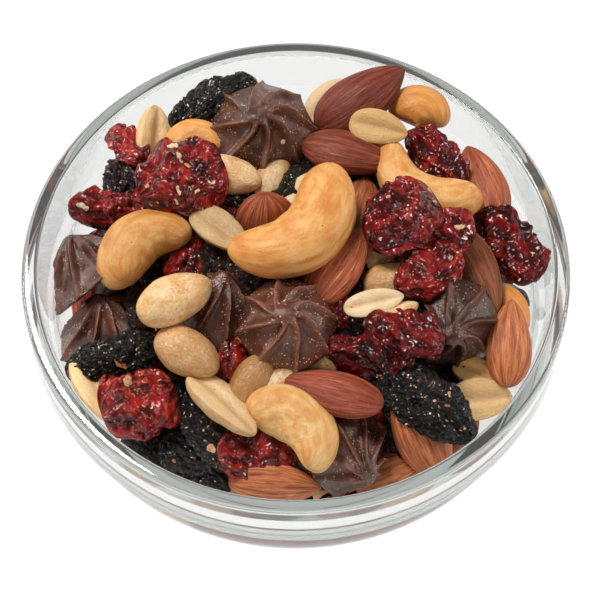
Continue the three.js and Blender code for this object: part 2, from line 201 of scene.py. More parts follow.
# Larger scraps of nut and skin that lie on the pieces, as [x, y, length, width, heading, tone], where tone
# runs from 0 for cream to 1 for rust.
FLAKES = [
    [-40.5, -26, 3.6, 2, 20, 0.9],
    [-38.5, -33.5, 2.6, 2, 70, 0.45],
    [-19.5, -47, 2.2, 1.8, 0, 0.4],
    [-28, -47, 1.6, 1, 30, 0.8],
    [-24, -47, 1.8, 0.6, 80, 0],
    [-51, 16, 3.2, 1.6, -40, 0.1],
    [-29, 22.5, 2.6, 1.1, 10, 0.1],
    [-27.5, 20.5, 1.6, 1.2, 60, 0.3],
    [-25.5, 19, 1.8, 1.1, 100, 0.5],
    [-27.5, 12.5, 2.4, 0.8, -60, 0.2],
    [-23.5, 13.5, 2, 0.9, 30, 0.15],
    [-28, 11, 1.8, 1, 80, 0.1],
    [-35, 14.5, 1.4, 0.8, 10, 0.4],
    [-19.5, 16, 1.2, 0.8, 50, 0.3],
    [-41, 27, 1, 0.6, 0, 0.1],
    [21.5, 8.5, 1.2, 0.8, 20, 0.4],
    [31.5, 12, 1.6, 0.9, 100, 0.4],
    [32.5, 9.5, 1.3, 0.7, 0, 0.4],
    [38.5, 4.5, 3, 1.3, 20, 0.35],
    [39.5, 1.5, 1.8, 0.6, 10, 0],
    [44.5, 8.5, 2, 0.6, -20, 0],
    [28.5, -29, 1.4, 0.5, 60, 0.7],
    [33, -29, 1.6, 0.5, 20, 0.8],
    [35, -36, 1.4, 0.6, 90, 0.4],
    [31.5, -38, 1.2, 0.5, 40, 0.3],
    [34.5, -39, 1.4, 0.5, 0, 0.8],
    [-12.5, 36, 1.2, 0.9, 0, 0.1],
    [-3, 29.5, 1.4, 0.9, 60, 0.1],
]


# ---- Small helpers ----

def linear(red, green, blue):
    """A colour for a shader, from screen values from 0 to 255."""
    values = [c / 255 for c in (red, green, blue)]
    return (*(v / 12.92 if v < 0.04 else ((v + 0.055) / 1.055) ** 2.4 for v in values), 1.0)


def uneven(points, size, octaves, offset=0.0):
    """Smooth noise from about -1 to 1, with bumps of a size in millimetres."""
    moved = points / size + offset
    return np.array([noise.fractal(Vector(p), 1.0, 2.0, octaves) for p in moved])


def creases(points, size, octaves, offset):
    """Noise from 0 to 1 with sharp crests and round valleys between them."""
    moved = points / size + offset
    return np.array([1 - abs(noise.fractal(Vector(p), 1.0, 2.1, octaves)) for p in moved])


def new_object(name, points, faces, smooth=True):
    mesh = bpy.data.meshes.new(name)
    mesh.from_pydata((np.asarray(points) * MM).tolist(), [], faces)
    mesh.polygons.foreach_set("use_smooth", [smooth] * len(mesh.polygons))
    mesh.update()
    made = bpy.data.objects.new(name, mesh)
    bpy.context.scene.collection.objects.link(made)
    return made


# ---- Bowl ----

def rounded_quarter(side, bottom, top, steps):
    """From (0, bottom) up to (side, top), fuller than an ellipse."""
    outline = []
    for step in range(steps + 1):
        turn = step / steps * math.pi / 2
        across = math.sin(turn) ** (2 / ROUNDNESS)
        down = abs(math.cos(turn)) ** (2 / ROUNDNESS) if step < steps else 0.0
        outline.append((side * across, top - (top - bottom) * down))
    return outline


def arc(middle_x, middle_z, radius, start, end, steps):
    """Points on a round corner, with its angles in degrees."""
    angles = [math.radians(start + (end - start) * step / steps) for step in range(steps + 1)]
    return [(middle_x + radius * math.cos(a), middle_z + radius * math.sin(a)) for a in angles]


def bowl_outline():
    """The wall's section, from the middle of the floor over the rim to the middle of the foot."""
    rim_round = 1.1
    edge_round = 0.8
    foot_round = 0.6
    band_bottom = BOWL_HEIGHT - BAND_HEIGHT
    rim_inside = BOWL_RADIUS - RIM_WALL
    inner = [
        point
        for point in rounded_quarter(INNER_RADIUS, FLOOR, SHOULDER, 60)
        if point[1] < FLARE_START
    ]
    body_side = BOWL_RADIUS - BAND_STEP
    body = [
        point
        for point in rounded_quarter(body_side, 0, band_bottom - BAND_STEP / 2, 40)
        if point[0] > FOOT_RADIUS
    ]
    return [
        *inner,
        *arc(rim_inside + rim_round, BOWL_HEIGHT - rim_round, rim_round, 180, 90, 8),
        *arc(BOWL_RADIUS - rim_round, BOWL_HEIGHT - rim_round, rim_round, 90, 0, 8),
        *arc(BOWL_RADIUS - BAND_DRAFT - edge_round, band_bottom + edge_round, edge_round, 0, -90, 6),
        *reversed(body),
        *arc(FOOT_RADIUS - foot_round, foot_round, foot_round, -45, -90, 3),
        (FOOT_RADIUS - FOOT_WIDTH, 0),
        (FOOT_RADIUS - FOOT_WIDTH - RECESS_SLOPE, FOOT_RECESS),
        (0, FOOT_RECESS),
    ]


def lathe(name, outline, sides):
    """Turns an outline that starts and ends on the axis, with its first point on top of the floor."""
    piece = Piece(len(outline) - 1, sides, 0, 1)
    counts = [1, *[sides] * (len(outline) - 2), 1]
    radius, height = np.repeat(outline, counts, axis=0).T
    points = np.stack([radius * piece.across, radius * piece.rise, height], 1)
    return new_object(name, points, piece.faces())


def inner_radius(height):
    """Radius of the inside of the glass at heights in an array."""
    down = np.clip((SHOULDER - np.minimum(height, FLARE_START)) / (SHOULDER - FLOOR), 0, 1)
    curved = INNER_RADIUS * (1 - down ** ROUNDNESS) ** (1 / ROUNDNESS)
    flare_end = (SHOULDER - FLARE_START) / (SHOULDER - FLOOR)
    flare_foot = INNER_RADIUS * (1 - flare_end ** ROUNDNESS) ** (1 / ROUNDNESS)
    flare_top = BOWL_HEIGHT - 1
    flared = np.clip((height - FLARE_START) / (flare_top - FLARE_START), 0, 1)
    return curved + flared * (BOWL_RADIUS - RIM_WALL - flare_foot)


# ---- Pieces of the mix ----

class Piece:
    """A closed skin over rings about the X axis, from the +X tip to the -X tip.

    along runs from 0 at the +X tip to pi at the -X tip, and around from 0 to 2 pi. across and rise say
    which way a point lies from the axis. grain is its place on a plain cylinder, so that marks that
    follow it run lengthwise and meet at the tips, and mask marks what its finish picks out."""

    def __init__(self, rings, sides, length, width):
        along = np.repeat(np.linspace(0, math.pi, rings + 1)[1:-1], sides)
        around = np.tile(np.arange(sides) * 2 * math.pi / sides, rings - 1)
        self.along = np.concatenate([[0.0], along, [math.pi]])
        self.around = np.concatenate([[0.0], around, [0.0]])
        self.rings = rings
        self.sides = sides
        self.length = length
        self.width = width
        self.x = length / 2 * np.cos(self.along)
        self.across = np.cos(self.around)
        self.rise = np.sin(self.around)
        self.grain = np.stack([self.x, width / 2 * self.across, width / 2 * self.rise], 1)
        self.mask = np.zeros_like(self.along)
        self.points = None

    def faces(self):
        made = []
        last = (self.rings - 2) * self.sides + 1
        tip = len(self.along) - 1
        for side in range(self.sides):
            after = (side + 1) % self.sides
            made.append((0, 1 + side, 1 + after))
            made.append((tip, last + after, last + side))
        for ring in range(self.rings - 2):
            start = 1 + ring * self.sides
            for side in range(self.sides):
                after = (side + 1) % self.sides
                low = start + self.sides
                made.append((start + side, low + side, low + after, start + after))
        return made


def seed_outline(along, tip, tail):
    """Half the width of a seed along its length, 1 at its widest."""
    widest = (tail / (tip + tail)) ** tail * (tip / (tip + tail)) ** tip
    return np.sin(along / 2) ** (2 * tip) * np.cos(along / 2) ** (2 * tail) / widest


def almond(piece, offset):
    half = piece.width / 2 * seed_outline(piece.along, 0.72, 0.5)
    furrows = creases(piece.grain * [0.16, 1, 1], 2.1, 2, offset)
    swell = uneven(piece.grain * [0.5, 1, 1], 7, 1, offset)
    fade = np.sin(piece.along) ** 0.5
    half = half * (1 + 0.07 * swell) + 0.26 * (furrows - 0.75) * fade
    keel = 1 + 0.06 * np.cos(2 * piece.around)
    piece.points = np.stack([piece.x, half * keel * piece.across, half * 0.66 * piece.rise], 1)


def peanut(piece, offset):
    half = piece.width / 2 * seed_outline(piece.along, 0.55, 0.45)
    swell = uneven(piece.grain, 6, 1, offset)
    pits = uneven(piece.grain * [0.6, 1, 1], 1.6, 2, offset)
    half = half * (1 + 0.1 * swell) + 0.14 * pits * np.sin(piece.along)
    piece.points = np.stack([piece.x, half * piece.across, half * 0.9 * piece.rise], 1)


def half_peanut(piece, offset):
    """Round below and nearly flat above, with a shallow dip along the flat.

    Its mask is half on the flat, and full in the dip."""
    half = piece.width / 2 * seed_outline(piece.along, 0.6, 0.45)
    half = half * (1 + 0.06 * uneven(piece.grain, 6, 1, offset))
    dip = 0.22 * np.exp(-((piece.across / 0.32) ** 2)) * np.sin(piece.along) ** 0.7
    z = 0.3 + np.where(piece.rise > 0, 0.16 * np.abs(piece.rise) ** 0.6 - dip, 0.95 * piece.rise)
    tilt = 0.05 * uneven(piece.grain, 3, 1, offset + 5)
    groove = np.exp(-((piece.across / 0.22) ** 2)) * np.sin(piece.along)
    piece.mask = np.where(piece.rise > 0.02, 0.5 + 0.5 * groove, 0.0)
    piece.points = np.stack([piece.x, half * piece.across, half * (z + tilt)], 1)


def cashew(piece, offset):
    """A plump arc whose outer curve faces +X, one horn thinner than the other."""
    bend = math.radians(78)
    horn_turn = 0.765 * bend
    curve = piece.length / 2 / math.sin(horn_turn) - 0.38 * piece.width
    middle = curve * (1 + math.cos(bend)) / 2
    turn = bend * np.cos(piece.along)
    piece.grain[:, 0] = curve * turn
    swell = uneven(piece.grain, 8, 1, offset)
    dents = uneven(piece.grain * [0.35, 1, 1], 2.2, 2, offset)
    plump = np.sin(piece.along) ** 0.62 * (1 - 0.16 * np.cos(piece.along))
    half = piece.width / 2 * plump * (1 + 0.07 * swell) + 0.16 * dents * np.sin(piece.along)
    cleft = np.exp(-((piece.across - 0.97) / 0.05) ** 2) * np.sin(piece.along)
    half = half * (1 - 0.05 * cleft)
    reach = curve + half * piece.across
    piece.points = np.stack(
        [reach * np.cos(turn) - middle, -reach * np.sin(turn), half * 0.88 * piece.rise], 1
    )


def drop(piece, offset):
    """A piped chocolate drop: eight thin ribs that twist round into a blunt peak on +Z, over a flat base.

    The sides between the ribs are wide and smooth, and sunk below them. Its mask is the ribs."""
    ribs = 8
    height = piece.width * 0.55
    base_start = 2 / 3 * math.pi
    panel = math.pi / ribs
    off_rib = (piece.around + panel) % (2 * panel) / panel - 1
    piece.around += panel * (np.sign(off_rib) * np.abs(off_rib) ** 1.7 - off_rib)
    from_rib = panel * np.abs(off_rib) ** 1.7
    down = np.minimum(1, piece.along / base_start)
    inward = np.maximum(0, piece.along - base_start) / (math.pi - base_start)
    flat_side = math.cos(panel) / np.cos(panel - from_rib) - 1
    beside = from_rib * down
    ribbed = np.clip(down * 4 - 0.6, 0, 1)
    sunk = 0.16 * ribbed * np.sin(math.pi * down ** 0.6) * (1 - np.exp(-((beside / 0.08) ** 2)))
    rib = np.exp(-((beside / 0.045) ** 2)) * ribbed * (1 - inward) ** 4
    around_noise = np.stack([np.cos(piece.around) * down, np.sin(piece.around) * down, down], 1)
    wobble = uneven(around_noise, 0.7, 1, offset)
    rough = uneven(around_noise, 0.09, 2, offset)
    edge = down ** 0.94 * (1 + 0.7 * ribbed * flat_side) - sunk + 0.04 * rib * (1 + rough)
    radius = piece.width / 2 * np.maximum(0, edge) * (1 + 0.05 * wobble) * (1 - inward)
    blunt = (down ** 2 + 0.012) ** 0.65 - 0.012 ** 0.65
    z = height * (0.6 - blunt) + 0.03 * piece.width * (wobble + 0.5 * rib) * (1 - inward)
    turn = piece.around + math.radians(60) * (1 - down) ** 2
    hook = 0.07 * piece.width * np.exp(-((down / 0.3) ** 2))
    piece.points = np.stack([hook - radius * np.sin(turn), radius * np.cos(turn) - hook, z], 1)
    piece.grain = piece.points.copy()
    piece.mask = rib


def raisin(piece, offset):
    half = piece.width / 2 * seed_outline(piece.along, 0.46, 0.42)
    swell = uneven(piece.grain * [0.7, 1, 1], 6, 1, offset)
    folds = creases(piece.grain * [0.4, 1, 1], 3.2, 1, offset)
    wrinkles = creases(piece.grain * [0.6, 1, 1], 1.2, 2, offset + 9)
    fade = np.sin(piece.along) ** 0.4
    half = half * (1 + 0.22 * swell) + (3.0 * (folds - 0.85) + 3.0 * (wrinkles - 0.82)) * fade
    lean = 0.12 * piece.width * uneven(piece.grain * [1, 0, 0], 7, 1, offset + 3)
    piece.points = np.stack([piece.x, half * piece.across + lean, half * 0.72 * piece.rise + lean], 1)


def cranberry(piece, offset):
    """A torn half of a berry, dried to a flat crumpled lump with a ragged outline.

    Its mask is highest on the crests of its folds."""
    half = piece.width / 2 * seed_outline(piece.along, 0.34, 0.38)
    ragged = uneven(piece.grain, 4.6, 2, offset)
    folds = creases(piece.grain * [0.6, 1, 1], 4.4, 1, offset + 2)
    lumps = np.abs(uneven(piece.grain, 2.6, 2, offset + 4))
    fade = np.sin(piece.along) ** 0.5
    half = half * (1 + 0.28 * ragged) + (2.4 * (folds - 0.82) + 1.3 * (lumps - 0.25)) * fade
    piece.mask = np.clip(folds - 0.5 * lumps, 0, 1)
    lean = 0.16 * piece.width * uneven(piece.grain * [1, 0.5, 0.5], 6, 1, offset + 7)
    piece.points = np.stack([piece.x, half * piece.across + lean, half * 0.5 * piece.rise + lean], 1)


# Each kind's shape, its rings and sides where it shows and where it is hidden, and its usual size.
SHAPES = {
    "almond": (almond, (60, 96), (18, 24), (23, 11.5)),
    "peanut": (peanut, (44, 64), (14, 20), (15.5, 10)),
    "half": (half_peanut, (44, 72), (14, 20), (15.5, 9)),
    "cashew": (cashew, (72, 64), (20, 18), (22, 9.5)),
    "drop": (drop, (56, 160), (15, 32), (22, 22)),
    "raisin": (raisin, (60, 96), (16, 24), (18, 11)),
    "cranberry": (cranberry, (54, 80), (18, 24), (17, 11)),
}


# ---- Laying out the heap ----

OFFSET_STEP = 3.7  # sets each piece's own noise apart from the next one's
GRAIN_STEP = 31.7
NO_TOP = 100.0
CLEARING_STEPS = 8


def mound_height(x, y):
    return BOWL_HEIGHT + MOUND_RISE - MOUND_FALL * (x * x + y * y) + MOUND_TILT * y


def overreach(points):
    """How far points reach past the inside of the glass."""
    below = points[:, 2] < BOWL_HEIGHT
    if not below.any():
        return 0.0
    room = inner_radius(points[below, 2] - GLASS_GAP) - GLASS_GAP
    return max(0.0, float((np.hypot(points[below, 0], points[below, 1]) - room).max()))


def turned(heading, pitch, roll):
    """The turn that rolls a piece, raises its +X end and points that end along a heading, in degrees."""
    return np.array(
        Matrix.Rotation(math.radians(heading), 3, "Z")
        @ Matrix.Rotation(-math.radians(pitch), 3, "Y")
        @ Matrix.Rotation(math.radians(roll), 3, "X")
    )


def place(piece, middle, turn, top):
    """Turns a piece and sets its middle at a point, then draws it in until it clears the glass."""
    points = piece.points @ turn.T + np.array(middle)
    points[:, 2] -= max(0.0, points[:, 2].max() - top)
    points[:, 2] += max(0.0, FLOOR + FLOOR_GAP - points[:, 2].min())
    inward = -np.array([middle[0], middle[1], 0.0])
    inward /= max(1e-6, np.linalg.norm(inward))
    for _ in range(CLEARING_STEPS):
        points += inward * overreach(points)
    piece.points = points


def joined(name, pieces, smooth=True):
    """One object of many pieces."""
    faces, start = [], 0
    for piece in pieces:
        faces.extend(tuple(start + corner for corner in face) for face in piece.faces())
        start += len(piece.points)
    return new_object(name, np.concatenate([piece.points for piece in pieces]), faces, smooth)


def keep(made, label, parts):
    """Keeps numbers, or the grain's vectors, on an object's points."""
    kind, field = ("FLOAT_VECTOR", "vector") if label == "grain" else ("FLOAT", "value")
    values = np.concatenate(parts).astype(np.float32).ravel()
    made.data.attributes.new(label, kind, "POINT").data.foreach_set(field, values)


class Heap:
    """All the placed pieces, kept by kind until each kind is made one mesh."""

    def __init__(self):
        self.pieces = {kind: [] for kind in SHAPES}
        self.count = 0

    def add(self, kind, size, middle, turn, tone, warmth, fine, top=NO_TOP):
        self.count += 1
        shape, shown, hidden, _ = SHAPES[kind]
        piece = Piece(*(shown if fine else hidden), *size)
        shape(piece, self.count * OFFSET_STEP)
        place(piece, middle, turn, top)
        piece.tone = tone
        piece.warmth = warmth
        piece.number = self.count
        self.pieces[kind].append(piece)

    def add_rows(self, kind, rows):
        for x, y, lift, heading, pitch, roll, length, width, tone, warmth in rows:
            middle = (x, y, mound_height(x, y) + lift)
            turn = turned(heading, pitch, roll)
            self.add(kind, (length, width), middle, turn, tone, warmth, True)

    def mesh(self, name, *kinds):
        """One object of all the pieces of some kinds, with what their finish needs kept on its points."""
        pieces = [piece for kind in kinds for piece in self.pieces[kind]]
        made = joined(name, pieces)
        keep(made, "grain", [piece.grain + GRAIN_STEP * piece.number for piece in pieces])
        keep(made, "tone", [piece.tone + 0 * piece.along for piece in pieces])
        keep(made, "warmth", [piece.warmth + 0 * piece.along for piece in pieces])
        keep(made, "mask", [piece.mask for piece in pieces])
        return made


heap = Heap()
for kind, rows in zip(SHAPES, (ALMONDS, PEANUTS, HALVES, CASHEWS, DROPS, RAISINS, CRANBERRIES)):
    heap.add_rows(kind, rows)

draw = random.Random(5)


def fill_piece(kinds, middle, turn, top=NO_TOP):
    """Adds a piece of usual size, of a kind that is drawn at random, that reaches no higher than a top."""
    kind = draw.choice(kinds)
    grown = draw.uniform(0.88, 1.12)
    size = tuple(grown * value for value in SHAPES[kind][3])
    if kind == "drop":
        turn = turn @ turned(0, 0, draw.choice([0, 0, 180]))
    heap.add(kind, size, middle, turn, draw.uniform(-0.5, 0.5), draw.uniform(-0.3, 0.6), False, top)


def spiral(count, reach, start):
    """Evenly spread places on a disc, as a sunflower's seeds are, each as radius, x and y."""
    for step in range(count):
        radius = reach * math.sqrt((step + 0.5) / count)
        turn = step * GOLDEN_TURN + start
        yield radius, radius * math.cos(turn), radius * math.sin(turn)


def fill_under():
    """Even layers under the pieces that can be seen, lower towards the glass."""
    for kinds, depth, count in UNDER_LAYERS:
        for radius, x, y in spiral(count, UNDER_REACH, depth):
            turn = turned(draw.uniform(0, 360), draw.uniform(-20, 20), draw.uniform(-30, 30))
            middle = (x, y, mound_height(x, y) - depth - draw.uniform(0, 3))
            fill_piece(kinds, middle, turn, WALL_TOP + max(0.0, UNDER_RIM - radius))


def fill_wall():
    """Pieces that lie flat against the glass all round."""
    for ring, (height, count) in enumerate(WALL_RINGS):
        for step in range(count):
            turn = (step + 0.5 * (ring % 2) + draw.uniform(-0.15, 0.15)) / count * 2 * math.pi
            z = height + draw.uniform(-1.5, 1.5)
            radius = float(inner_radius(z)) - WALL_INSET
            slope = math.degrees(math.atan2(float(inner_radius(z + 1) - inner_radius(z - 1)), 2))
            lie = turned(math.degrees(turn) + 90, 0, slope - 90) @ turned(draw.uniform(-40, 40), 0, 0)
            fill_piece(ALL_KINDS, (radius * math.cos(turn), radius * math.sin(turn), z), lie, WALL_TOP)


def fill_floor():
    for _, x, y in spiral(FLOOR_COUNT, FLOOR_REACH, 0.0):
        fill_piece(ALL_KINDS, (x, y, FLOOR + FLOOR_LIFT), turned(draw.uniform(0, 360), 0, 0))


fill_under()
fill_wall()
fill_floor()


def core_mesh():
    """A dark lumpy body under the pieces, so that no light shows through between them."""
    rings, sides = 40, 64
    edge = 30.0  # height of its rim
    top_end = 0.45 * math.pi  # where along it that rim lies
    wall_gap = 8.0
    floor_gap = 2.0
    lump_size = 5.0
    lump_height = 1.5
    piece = Piece(rings, sides, 0, 1)
    edge_radius = float(inner_radius(edge)) - wall_gap
    radius = edge_radius * np.minimum(1, piece.along / top_end)
    z = mound_height(radius * piece.across, radius * piece.rise) - CORE_DEPTH
    z -= CORE_FALL * radius ** 2
    under = piece.along > top_end
    down = np.clip((piece.along - top_end) / (math.pi - top_end), 0, 1)
    low = edge + (FLOOR + floor_gap - edge) * np.sin(down * math.pi / 2)
    z = np.where(under, low, z)
    radius = np.where(under, np.maximum(0, inner_radius(low) - wall_gap) * (down < 1), radius)
    points = np.stack([-radius * piece.rise, radius * piece.across, z], 1)
    points[:, 2] += np.where(under, 0, lump_height * uneven(points, lump_size, 2))
    return new_object("mix_core", points, piece.faces())


# ---- Shader building ----

def add_node(tree, kind, inputs=None, **settings):
    """A shader node. An input is a plain value or the output socket of another node."""
    made = tree.nodes.new(kind)
    for key, value in settings.items():
        setattr(made, key, value)
    for key, value in (inputs or {}).items():
        if isinstance(value, bpy.types.NodeSocket):
            tree.links.new(value, made.inputs[key])
        else:
            made.inputs[key].default_value = value
    return made


def read(tree, label):
    """A value or vector kept on the mesh's points."""
    output = "Vector" if label == "grain" else "Fac"
    return add_node(tree, "ShaderNodeAttribute", attribute_name=label).outputs[output]


def calculate(tree, operation, first, second=0.0):
    return add_node(tree, "ShaderNodeMath", {0: first, 1: second}, operation=operation).outputs[0]


def spread(tree, value, low, high, start=0.0, end=1.0):
    """Carries a value from one range to another, kept inside it."""
    inputs = {"Value": value, "From Min": low, "From Max": high, "To Min": start, "To Max": end}
    return add_node(tree, "ShaderNodeMapRange", inputs, clamp=True).outputs["Result"]


def blended(tree, share, first, second, blend="MIX"):
    """Mixes two colours, each given as screen values or as a socket."""
    first, second = (linear(*each) if isinstance(each, tuple) else each for each in (first, second))
    inputs = {0: share, 6: first, 7: second}
    node = add_node(
        tree, "ShaderNodeMix", inputs, data_type="RGBA", blend_type=blend, clamp_factor=True
    )
    return node.outputs[2]


def toned(tree, color, low, high):
    """Darkens or lightens a colour by each piece's tone, partly its own colour and partly painted shade
    and light.
    """
    tone = spread(tree, read(tree, "tone"), -1, 1, low, high)
    grey = add_node(tree, "ShaderNodeCombineColor", {0: tone, 1: tone, 2: tone}).outputs[0]
    return blended(tree, 1.0, color, grey, "MULTIPLY")


def scaled(tree, vector, by):
    node = add_node(tree, "ShaderNodeVectorMath", {0: vector, 1: by}, operation="MULTIPLY")
    return node.outputs[0]


def grained_noise(tree, vector, scale, detail=2.0, rough=0.5):
    inputs = {"Vector": vector, "Scale": scale, "Detail": detail, "Roughness": rough}
    return add_node(tree, "ShaderNodeTexNoise", inputs).outputs["Fac"]


def bump(tree, height, depth, normal=None):
    """A surface normal from a height, with its depth in millimetres."""
    inputs = {"Height": height, "Strength": 1.0, "Distance": depth * MM}
    if normal is not None:
        inputs["Normal"] = normal
    return add_node(tree, "ShaderNodeBump", inputs).outputs["Normal"]


def new_group(name, inputs, output, kind="Shader"):
    """An empty node group, with inputs given as {name: kind of socket} and an output named by its kind."""
    tree = bpy.data.node_groups.new(name, kind + "NodeTree")
    for label, socket in inputs.items():
        tree.interface.new_socket(label, in_out="INPUT", socket_type="NodeSocket" + socket)
    tree.interface.new_socket(output, in_out="OUTPUT", socket_type="NodeSocket" + output)
    given = tree.nodes.new("NodeGroupInput").outputs
    return tree, given, tree.nodes.new("NodeGroupOutput").inputs[output]


def streaks_group():
    """Marks that run lengthwise and meet at the tips, from a piece's grain."""
    inputs = {"Grain": "Vector", "Fineness": "Float", "Length": "Float"}
    tree, given, result = new_group("lengthwise_streaks", inputs, "Float")
    stretch = add_node(tree, "ShaderNodeCombineXYZ", {0: given["Length"], 1: 1.0, 2: 1.0}).outputs[0]
    vector = scaled(tree, given["Grain"], stretch)
    tree.links.new(grained_noise(tree, vector, given["Fineness"], 3.0, 0.6), result)
    return tree


def specks_group():
    """Small grains of sugar, dust or crumb, thicker in some patches than in others."""
    inputs = {"Grain": "Vector", "Fineness": "Float", "Amount": "Float"}
    tree, given, result = new_group("specks", inputs, "Float")
    spots = {"Vector": given["Grain"], "Scale": given["Fineness"]}
    cells = add_node(tree, "ShaderNodeTexVoronoi", spots).outputs["Distance"]
    patch = grained_noise(tree, given["Grain"], 0.35, 2.0)
    limit = calculate(tree, "MULTIPLY", given["Amount"], spread(tree, patch, 0.35, 0.65))
    tree.links.new(spread(tree, calculate(tree, "SUBTRACT", limit, cells), 0.0, 0.06), result)
    return tree


STREAKS = streaks_group()
SPECKS = specks_group()


def streaks(tree, grain, fineness, length):
    inputs = {"Grain": grain, "Fineness": fineness, "Length": length}
    return add_node(tree, "ShaderNodeGroup", inputs, node_tree=STREAKS).outputs[0]


def specks(tree, grain, fineness, amount):
    inputs = {"Grain": grain, "Fineness": fineness, "Amount": amount}
    return add_node(tree, "ShaderNodeGroup", inputs, node_tree=SPECKS).outputs[0]


def new_material(name, **constants):
    """A material whose main shader has some inputs set, named with _ for a space."""
    material = bpy.data.materials.new(name)
    material.use_nodes = True
    tree = material.node_tree
    surface = tree.nodes["Principled BSDF"]
    for key, value in constants.items():
        surface.inputs[key.replace("_", " ")].default_value = value
    return material, tree, surface


def connect(tree, surface, color, rough, normal):
    tree.links.new(color, surface.inputs["Base Color"])
    tree.links.new(rough, surface.inputs["Roughness"])
    tree.links.new(normal, surface.inputs["Normal"])


# ---- Finishes ----

def almond_skin():
    material, tree, surface = new_material("almond_skin", Specular_IOR_Level=0.35)
    grain = read(tree, "grain")
    warmth = read(tree, "warmth")
    wide = streaks(tree, grain, 0.8, 0.09)
    fine = streaks(tree, grain, 2.2, 0.12)
    brown = blended(tree, warmth, (166, 74, 47), (208, 132, 80))
    dark = blended(tree, warmth, (106, 34, 22), (146, 74, 42))
    color = blended(tree, spread(tree, wide, 0.3, 0.62), dark, brown)
    color = blended(tree, spread(tree, fine, 0.5, 0.64, 0.0, 0.5), color, (84, 28, 16))
    dashes = calculate(tree, "MULTIPLY", spread(tree, fine, 0.4, 0.32), spread(tree, wide, 0.48, 0.62))
    color = blended(tree, calculate(tree, "MULTIPLY", dashes, 0.7), color, (222, 170, 124))
    freckles = specks(tree, grain, 1.3, 0.2)
    color = blended(tree, calculate(tree, "MULTIPLY", freckles, 0.5), color, (214, 160, 120))
    rough = spread(tree, fine, 0.3, 0.7, 0.4, 0.6)
    connect(tree, surface, toned(tree, color, 0.62, 1.38), rough, bump(tree, fine, 0.3))
    return material


def peanut_flesh():
    material, tree, surface = new_material(
        "peanut_flesh",
        Specular_IOR_Level=0.55,
        Subsurface_Weight=0.12,
        Subsurface_Scale=0.002,
        Subsurface_Radius=(1, 0.6, 0.3),
    )
    grain = read(tree, "grain")
    wide = grained_noise(tree, grain, 0.3, 3.0)
    fine = grained_noise(tree, grain, 1.5, 4.0, 0.6)
    cream = blended(tree, read(tree, "warmth"), (234, 204, 156), (226, 160, 88))
    inside = spread(tree, read(tree, "mask"), 0.3, 0.5)
    color = blended(tree, spread(tree, wide, 0.42, 0.6, 0.0, 0.75), cream, (212, 152, 84))
    color = blended(tree, spread(tree, fine, 0.5, 0.66, 0.0, 0.6), color, (200, 136, 74))
    color = blended(tree, spread(tree, fine, 0.44, 0.32, 0.0, 0.6), color, (244, 224, 190))
    flesh = blended(tree, read(tree, "warmth"), (242, 214, 168), (240, 190, 108))
    color = blended(tree, calculate(tree, "MULTIPLY", inside, 0.65), color, flesh)
    # painted shade: the dip along a half's flat face is darker
    groove = spread(tree, read(tree, "mask"), 0.6, 1.0, 0.0, 0.5)
    color = blended(tree, groove, color, (206, 152, 112))
    color = blended(tree, specks(tree, grain, 0.6, 0.16), color, (160, 88, 44))
    rough = spread(tree, fine, 0.3, 0.7, 0.24, 0.44)
    connect(tree, surface, toned(tree, color, 0.65, 1.35), rough, bump(tree, fine, 0.3))
    return material


def cashew_flesh():
    material, tree, surface = new_material(
        "cashew_flesh",
        Specular_IOR_Level=0.4,
        Subsurface_Weight=0.1,
        Subsurface_Scale=0.002,
        Subsurface_Radius=(1, 0.5, 0.2),
    )
    grain = read(tree, "grain")
    warmth = read(tree, "warmth")
    marks = streaks(tree, grain, 0.5, 0.45)
    fine = grained_noise(tree, grain, 1.6, 4.0, 0.6)
    wide = grained_noise(tree, grain, 0.18, 2.0)
    gold = blended(tree, warmth, (224, 164, 92), (216, 126, 42))
    pale = blended(tree, warmth, (238, 198, 134), (234, 160, 74))
    color = blended(tree, spread(tree, marks, 0.38, 0.62), gold, pale)
    color = blended(tree, spread(tree, wide, 0.5, 0.72, 0.0, 0.7), color, (206, 126, 50))
    color = blended(tree, spread(tree, fine, 0.56, 0.72, 0.0, 0.3), color, (200, 128, 62))
    color = blended(tree, specks(tree, grain, 0.45, 0.12), color, (150, 86, 50))
    rough = spread(tree, fine, 0.3, 0.7, 0.28, 0.44)
    connect(tree, surface, toned(tree, color, 0.7, 1.3), rough, bump(tree, fine, 0.25))
    return material


def chocolate():
    material, tree, surface = new_material(
        "chocolate", Specular_IOR_Level=0.95, Specular_Tint=(1, 0.84, 0.76, 1)
    )
    grain = read(tree, "grain")
    rib = read(tree, "mask")
    bloom = grained_noise(tree, grain, 0.16, 3.0)
    fine = grained_noise(tree, grain, 2.0, 4.0, 0.65)
    color = blended(tree, spread(tree, bloom, 0.4, 0.7), (64, 32, 24), (102, 60, 46))
    # the ribs are lighter brown in patches
    pale_rib = calculate(tree, "MULTIPLY", rib, spread(tree, fine, 0.36, 0.6))
    color = blended(tree, calculate(tree, "MULTIPLY", pale_rib, 0.8), color, (146, 94, 72))
    dust = specks(tree, grain, 1.4, 0.3)
    color = blended(tree, dust, color, (206, 168, 138))
    rough = spread(tree, rib, 0.0, 1.0, 0.24, 0.6)
    melted = bump(tree, grained_noise(tree, grain, 0.22, 0.0), 1.3)
    connect(tree, surface, toned(tree, color, 0.6, 1.5), rough, bump(tree, fine, 0.16, melted))
    return material


